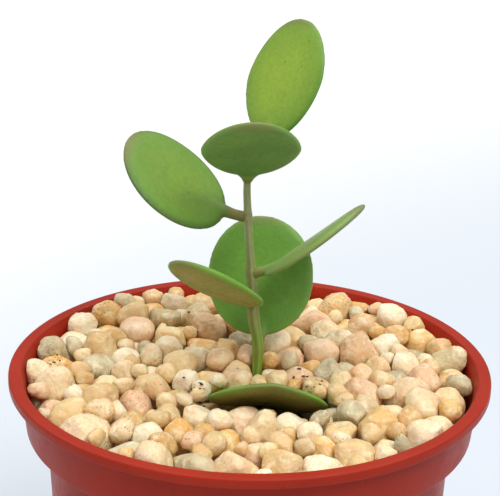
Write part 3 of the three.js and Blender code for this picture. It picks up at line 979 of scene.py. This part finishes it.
stem_spots = np.arange(-14, 3, 0.8) * MM
plant_balls = [balls(stem_at(rise), sum(stem_radius(rise)) + stone_gap) for rise in stem_spots]
basal = leaves["leaf_basal"]
basal_share, basal_side = np.meshgrid(np.linspace(0, 1, 22), np.linspace(-1, 1, 22), indexing="ij")
inside = np.abs(basal_side) < basal.outline(basal_share)
basal_share, basal_side = basal_share[inside], basal_side[inside]
basal_points = basal.spot(basal_share, basal_side, 0 * basal_share)
plant_balls.append(balls(basal_points, leaf_thickness / 2 + stone_gap))
plant_balls.append(balls(basal_points[basal_share > hollow_start] - [0, 0, hollow_drop], hollow_radius))
plant_balls.append(balls(stalk_rings(basal, 0.0, 0.2).mean(1), stalk_room))
plant_balls.append(balls(stem_at(-2 * MM)[0] + clearing_offsets, clearing_radius))
plant_balls.append(dip_ball)
plant_balls = np.concatenate(plant_balls)
print(f"{len(plant_balls)} balls to keep clear of")


# %% Room at each spot
def heap_top(points):
    """Height of the heap: level with the rim, and a little higher at the back."""
    return rim_top + np.interp(points[:, 1], [0, 35 * MM], [0.2 * MM, 1.4 * MM])


def room_to_balls(points):
    """Distance from each point to each ball's surface."""
    return np.linalg.norm(points[:, None] - plant_balls[None, :, :3], axis=-1) - plant_balls[:, 3]


def room_to_loose(points):
    """Distance from points to the plane that just touches each loose pebble on their side."""
    away = points[:, None] - loose_middles[None]
    distance = np.linalg.norm(away, axis=-1)
    reach = np.einsum("pkd,ksd->pks", away / distance[..., None], loose_spokes).max(-1)
    return distance - reach - stone_gap


def room_to_pot(points):
    """Distance to the wall, and to the ledge for points above it."""
    radius = np.hypot(points[:, 0], points[:, 1])
    body = foot_radius + ledge * body_draft - wall
    to_ledge = np.hypot(np.clip(body - radius, 0, None), points[:, 2] - ledge)
    to_wall = inner_radius(points[:, 2]) - radius
    return np.where(points[:, 2] > ledge, np.minimum(to_wall, to_ledge), to_wall) - stone_gap


room = np.minimum.reduce([
    room_to_balls(spots).min(1), room_to_loose(spots).min(1), room_to_pot(spots),
    spots[:, 2] - soil_top + 0.6 * MM, heap_top(spots) - spots[:, 2],
])
print(f"{(room > least_room).sum()} of {len(spots)} spots have room for a stone")

# %% Pour the stones
stone_sizes = np.geomspace(3.7, 1.3, 800) * MM
size_excess = 1.12  # a stone may be this much larger than the size that was asked for
chosen = []
for size in stone_sizes:
    fits = np.flatnonzero(room > size)
    if len(fits) == 0:
        continue
    pick = fits[rng.integers(len(fits))]
    radius = min(room[pick], size * size_excess)
    chosen.append([*spots[pick], radius])
    room = np.minimum(room, np.linalg.norm(spots - spots[pick], axis=1) - radius - stone_gap)
chosen = np.array(chosen)
stone_middles, stone_radii = chosen[:, :3], chosen[:, 3]
print(f"{len(chosen)} stones poured, {2 * stone_radii.min() / MM:.1f} to {2 * stone_radii.max() / MM:.1f} mm")

# %% Planes between stones
far = 1.0  # metres: it keeps a stone from being its own neighbour
neighbour_count = 22
standing_out = 1.6 * MM  # how far a stone may stand out of the heap

between = stone_middles[None] - stone_middles[:, None]
apart = np.linalg.norm(between, axis=-1) + np.eye(len(chosen)) * far
spare = apart - stone_radii[:, None] - stone_radii[None] - stone_gap
halfway = stone_radii[:, None] + spare * stone_radii[:, None] / (stone_radii[:, None] + stone_radii[None])
to_loose = loose_middles[None] - stone_middles[:, None]
to_balls = plant_balls[None, :, :3] - stone_middles[:, None]
down = np.broadcast_to([0.0, 0.0, -1.0], (len(chosen), 1, 3))
plane_facing = np.concatenate([between, to_loose, to_balls, down, -down], 1)
plane_facing /= np.linalg.norm(plane_facing, axis=-1, keepdims=True) + 1e-12
plane_distance = np.concatenate([
    halfway, room_to_loose(stone_middles), room_to_balls(stone_middles),
    stone_middles[:, 2:] - soil_top + 1.0 * MM,
    (heap_top(stone_middles) + standing_out)[:, None] - stone_middles[:, 2:],
], 1)
nearest = np.argsort(plane_distance, axis=1)[:, :neighbour_count]
plane_facing = np.take_along_axis(plane_facing, nearest[..., None], 1)
plane_distance = np.take_along_axis(plane_distance, nearest, 1)
wall_facing = unit(stone_middles * [1, 1, 0])
plane_facing = np.concatenate([plane_facing, wall_facing[:, None]], 1)
wall_distance = np.maximum(room_to_pot(stone_middles), stone_radii)
plane_distance = np.concatenate([plane_distance, wall_distance[:, None]], 1)
print(f"{plane_distance.size} planes")

# %% [markdown]
# The stones are joined in three meshes. Large ones near the top are seen best and get a fine grid. The
# small ones between them and the hidden ones below number hundreds, so they have few faces each.

# %% Stones of the heap
stone_tip = 0.7  # radians
stone_knobs = 0.26
shortest_halves = [1.4, 1.2, 1.1]  # half lengths of an egg, in radii of the room that it has
longest_halves = [2.0, 1.55, 1.35]
stone_turns = random_turns(len(chosen), stone_tip)
stone_halves = stone_radii[:, None] * rng.uniform(shortest_halves, longest_halves, (len(chosen), 3))


def stone_support(facing):
    """How far each egg reaches in given directions."""
    own = np.einsum("kfd,kcd->kfc", facing, stone_turns)
    return np.linalg.norm(own * stone_halves[:, None], axis=-1)


chip_facing, chip_distance = chip_planes(stone_support, stone_turns, chip_count, 0.68, 1.0)
all_facing = np.concatenate([plane_facing, chip_facing], 1)
all_distance = np.concatenate([plane_distance, chip_distance], 1)


def heap(name, picked, rings, around):
    """The picked stones as one mesh, with a random tone and shade marked on each stone."""
    grid = ball_grid(rings, around)
    ways = np.einsum("rac,kcd->krad", grid, stone_turns[picked])
    egg = 1 / np.linalg.norm(grid[None] / stone_halves[picked][:, None, None], axis=-1)
    egg = egg * egg_excess * lumpy(ways, stone_knobs)
    skins = pebble_rings(stone_middles[picked], ways, egg, all_facing[picked], all_distance[picked])
    mesh = closed_skins(name, skins)
    tone = rng.uniform(0, 1, len(skins))
    mark(mesh, "tone", np.repeat(tone, rings * around + 2))
    mark(mesh, "shade", np.repeat(rng.uniform(0, 1, len(skins)), rings * around + 2))
    print(f"{name}: {len(skins)} stones, {len(mesh.polygons)} faces")
    return mesh


seen_depth = 7 * MM
large_radius = 2 * MM
seen = stone_middles[:, 2] + stone_radii > rim_top - seen_depth
large = stone_radii > large_radius
large_mesh = heap("gravel_between", seen & large, *large_grid)
small_mesh = heap("gravel_small", seen & ~large, *small_grid)
lower_mesh = heap("gravel_below", ~seen, *hidden_grid)

# %% [markdown]
# ### Stone finishes
# Every stone has its own hue, so a stone carries one random tone and one random shade, and the finish
# turns them into a colour. On top come the things that all quartz gravel shows: cloudy patches, rusty
# stains, grey grains in some stones, and a skin that is satin with slightly glossy worn spots.

# %% Stone colours
stone_palette = {  # light and deep colour of each tone
    "cream": (srgb(238, 215, 168), srgb(224, 193, 138)),
    "beige": (srgb(226, 197, 142), srgb(206, 169, 108)),
    "white": (srgb(250, 236, 208), srgb(238, 214, 172)),
    "amber": (srgb(238, 206, 142), srgb(224, 172, 94)),
    "grey": (srgb(208, 198, 164), srgb(166, 156, 120)),
    "pink": (srgb(241, 210, 175), srgb(228, 184, 146)),
}
tone_order = ["cream", "beige", "white", "cream", "amber", "beige", "pink", "cream", "grey", "white"]
print(f"{len(stone_palette)} tones")


# %% Stone finishes
def stone_finish(name, light, deep):
    """Quartz: light and deep give the hue, as two colours or as two ramps read with a tone."""
    stone = Finish(name, Subsurface_Weight=0.5, Subsurface_Scale=2 * MM, IOR=1.5)
    shade = stone.attribute("shade")
    if isinstance(light, list):
        tone = stone.attribute("tone")
        light = stone.node("ShaderNodeValToRGB", {"stops": light}, [tone])
        deep = stone.node("ShaderNodeValToRGB", {"stops": deep}, [tone])
    patches = stone.noise(4 * MM, 4, 0.55, 0.6)
    clouds = (patches + (shade - 0.5) * 0.3).steps(0.3, 0.7)
    fine = stone.noise(0.9 * MM, 5, 0.6)
    rust = stone.noise(5 * MM, 5, 0.7, 2).steps(0.58, 0.7) * shade.steps(0.45, 0.9)
    frost = stone.noise(2.4 * MM, 5, 0.65, 0.6).steps(0.5, 0.66)
    grains = stone.specks(0.7 * MM, 0.36) * stone.noise(5 * MM, 3).steps(0.5, 0.62)
    color = stone.mix(clouds, light, deep)
    color = stone.mix(rust * 0.7, color, srgb(224, 162, 82))
    color = stone.mix(fine.steps(0.42, 0.7) * 0.3, color, srgb(208, 174, 112))
    color = stone.mix(frost * 0.5, color, srgb(252, 236, 206))
    stone.feed("Base Color", stone.mix(grains * shade.steps(0.5, 0.8) * 0.7, color, srgb(104, 98, 76)))
    stone.feed("Roughness", 0.3 + fine * 0.35)
    cells = {"Vector": stone.place, "Scale": 1 / (1.3 * MM)}
    crystals = stone.node("ShaderNodeTexVoronoi", {"feature": "F1"}, cells)
    rugged = stone.noise(6 * MM, 2).steps(0.45, 0.6)
    stone.bump(patches + fine * 0.6 + crystals * rugged * 0.6, 0.6 * MM, 0.8)
    return stone.material


stone_finishes = {tone: stone_finish("pebble_" + tone, *colors) for tone, colors in stone_palette.items()}
ramps = [
    [(i / len(tone_order), stone_palette[tone][side]) for i, tone in enumerate(tone_order)]
    for side in (0, 1)
]
mixed = stone_finish("gravel_mix", *ramps)
print(f"{len(stone_finishes)} finishes for the loose pebbles and one for the mixed gravel")

# %% Gravel in place
for i, (name, rings) in enumerate(zip(pebble_names, loose_rings)):
    tone = stone_tones[i % len(stone_tones)]
    mesh = closed_skins(name + "_stone", rings[None])
    mark(mesh, "shade", np.full(len(mesh.vertices), rng.uniform()))
    place(name + "_stone", mesh, [stone_finishes[tone]], "pebble_" + tone, name)

place("gravel_between", large_mesh, [mixed], "gravel_mix", "gravel_bed")
place("gravel_small", small_mesh, [mixed], "gravel_mix")
place("gravel_below", lower_mesh, [mixed], "gravel_mix")
print(f"{len(pebble_names)} loose pebbles and three meshes of gravel")

# %% [markdown]
# ### Crumbs of soil
# Watering and planting leave crumbs of soil on the gravel, most of them round the stem and under the
# lowest leaf. Each crumb is a tiny rough pebble that is set down on the highest stone below it.

# %% Crumbs
crumb_count = 110
crumb_homes = np.array([[1, 0, 5], [-11, -9, 4], [11, -9, 4], [-41, 2, 3], [0, 0, 26]]) * MM  # x, y, spread
home = crumb_homes[rng.integers(len(crumb_homes), size=crumb_count)]
crumb_spots = home[:, :2] + rng.normal(size=(crumb_count, 2)) * home[:, 2:] * 0.6
stone_tops = np.concatenate([corners_of(large_mesh), corners_of(small_mesh), loose_rings.reshape(-1, 3)])
stone_tops = stone_tops[stone_tops[:, 2] > rim_top - 8 * MM]
nearby = np.linalg.norm(crumb_spots[:, None] - stone_tops[None, :, :2], axis=-1) < 0.5 * MM
crumb_rise = np.where(nearby, stone_tops[:, 2], 0).max(1)
kept = (crumb_rise > 0) & (np.hypot(*crumb_spots.T) < rim_radius - 7 * MM)
crumb_middles = np.column_stack([crumb_spots, crumb_rise])[kept]
crumb_sizes = (0.1 + 0.34 * rng.uniform(size=len(crumb_middles)) ** 2)[:, None, None, None] * MM
crumb_shapes = rng.uniform([0.8, 0.8, 0.4], [1.8, 1.2, 0.8], (len(crumb_middles), 3))
crumb_sizes = crumb_sizes * crumb_shapes[:, None, None]
crumb_ways = np.repeat(ball_grid(5, 8)[None], len(crumb_middles), 0)
crumb_rings = crumb_middles[:, None, None] + crumb_ways * crumb_sizes * lumpy(crumb_ways, 0.9)[..., None]
place("soil_crumbs", closed_skins("soil_crumbs", crumb_rings), [earth.material], "potting_soil")
print(f"{len(crumb_middles)} crumbs of soil")

# %% [markdown]
# ## Floor and light
# The object stands on a plain pale floor in soft light. A very large lamp overhead does most of it and
# gives the soft shadows of a cloudy day. A dim sky fills them, and a small lamp at the front right adds
# some direction, so that the pebbles and the leaves get a lit side. A floor of one colour looks flat
# in even light, so the floor carries painted shade: it is painted a little darker and bluer near the pot and
# to its right.

# %% Floor
half = 3  # metres, half the floor's width
sky_strength = 0.3
floor_corners = [(-half, -half, 0), (half, -half, 0), (half, half, 0), (-half, half, 0)]
floor_mesh = bpy.data.meshes.new("floor")
floor_mesh.from_pydata(floor_corners, [], [(0, 1, 2, 3)])
paper = Finish("paper", Roughness=0.9)
distance = paper.node("ShaderNodeVectorMath", {"operation": "LENGTH"}, [paper.place], "Value")
sideways = paper.node("ShaderNodeSeparateXYZ", None, [paper.place], "X")
# Painted shade on the floor: the share of the paler far colour, low near the pot and to its right.
away = (distance - sideways * 0.9).steps(0.15, 0.6)
paper.feed("Base Color", paper.mix(away, (0.60, 0.65, 0.72, 1), (0.88, 0.88, 0.87, 1)))
floor_mesh.materials.append(paper.material)
added("floor", floor_mesh)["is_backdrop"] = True
print(f"the floor is {2 * half} m wide")

# %% Sky and lamps
world = bpy.data.worlds.new("sky")
bpy.context.scene.world = world
world.use_nodes = True
world.node_tree.nodes["Background"].inputs["Color"].default_value = (0.95, 0.98, 1.0, 1)
world.node_tree.nodes["Background"].inputs["Strength"].default_value = sky_strength


def lamp(name, position, target, size, power, color):
    """A square soft light at a position, turned to face a target."""
    data = bpy.data.lights.new(name, "AREA")
    data.size = size
    data.energy = power
    data.color = color
    light = added(name, data)
    way = Vector(target) - Vector(position)
    light.matrix_world = Matrix.Translation(position) @ way.to_track_quat("-Z", "Y").to_matrix().to_4x4()


lamp("ceiling", (0, 0.5, 2), (0, 0.5, 0), 4, 82, (1.0, 0.99, 0.97))
lamp("window", (0.3, -0.45, 0.75), (0, 0, rim_top), 0.3, 2.9, (1.0, 0.98, 0.94))
bpy.context.scene.view_settings.view_transform = "Standard"
print(f"{len(bpy.data.lights)} lamps and a sky of strength {sky_strength}")

# %% [markdown]
# ## Finish
# The box of the finished object is printed next to the CAD model's box, so that the two can be compared.

# %% Sizes of the CAD model and of the finished object
visual_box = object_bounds()
sizes = {"cad": [list(corner) for corner in cad_box], "visual": [list(corner) for corner in visual_box]}
for label, (low, high) in sizes.items():
    print(label, [round(1000 * (b - a), 1) for a, b in zip(low, high)])
